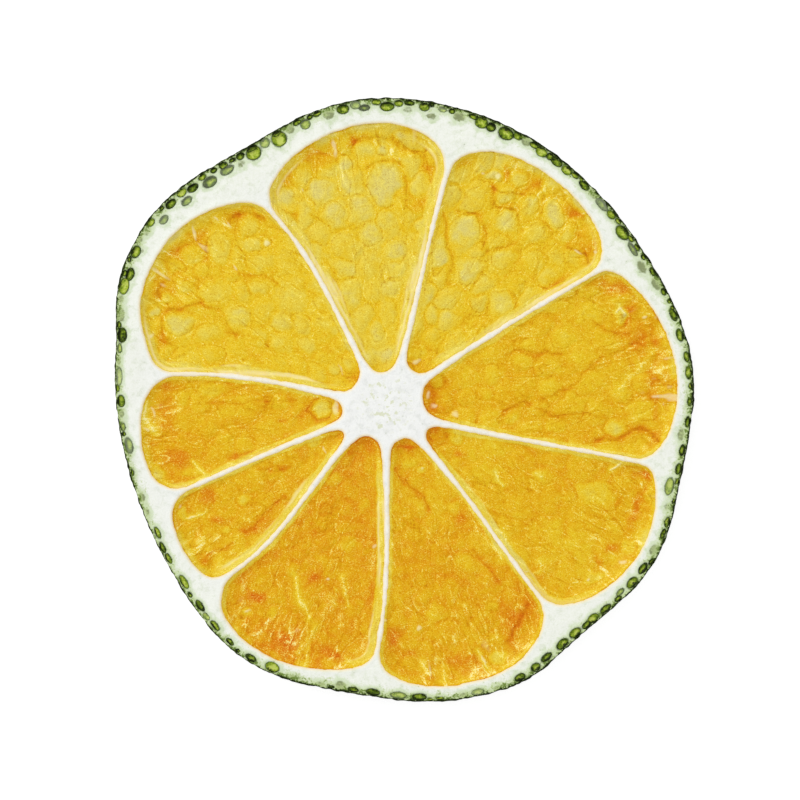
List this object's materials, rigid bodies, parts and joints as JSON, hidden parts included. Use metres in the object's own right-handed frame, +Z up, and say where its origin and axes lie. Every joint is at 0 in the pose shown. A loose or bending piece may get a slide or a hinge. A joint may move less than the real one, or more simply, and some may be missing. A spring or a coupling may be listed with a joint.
{
  "type": "dried citrus slice",
  "caption": "Round cross-cut slice of dried orange with a thin green rind, white pith, core and membranes, and wedge-shaped cells filled with translucent yellow-orange pulp.",
  "frame": {"origin": "under the middle of the slice, on the surface that it lies on", "axes": "+Z up through the slice's thickness, +Y along its longest width, +X to the right seen from above"},
  "size_m": [0.0594, 0.062, 0.0034],
  "materials": {
    "pith": "dry, softly rough, with a dark green skin on its outer side",
    "pulp": "glassy and translucent, like dried juice"
  },
  "bodies": {
    "root": {"rind_and_pith": "pith", "pulp_segment_1": "pulp", "pulp_segment_2": "pulp", "pulp_segment_3": "pulp", "pulp_segment_4": "pulp", "pulp_segment_5": "pulp", "pulp_segment_6": "pulp", "pulp_segment_7": "pulp", "pulp_segment_8": "pulp", "pulp_segment_9": "pulp"}
  },
  "joints": []
}
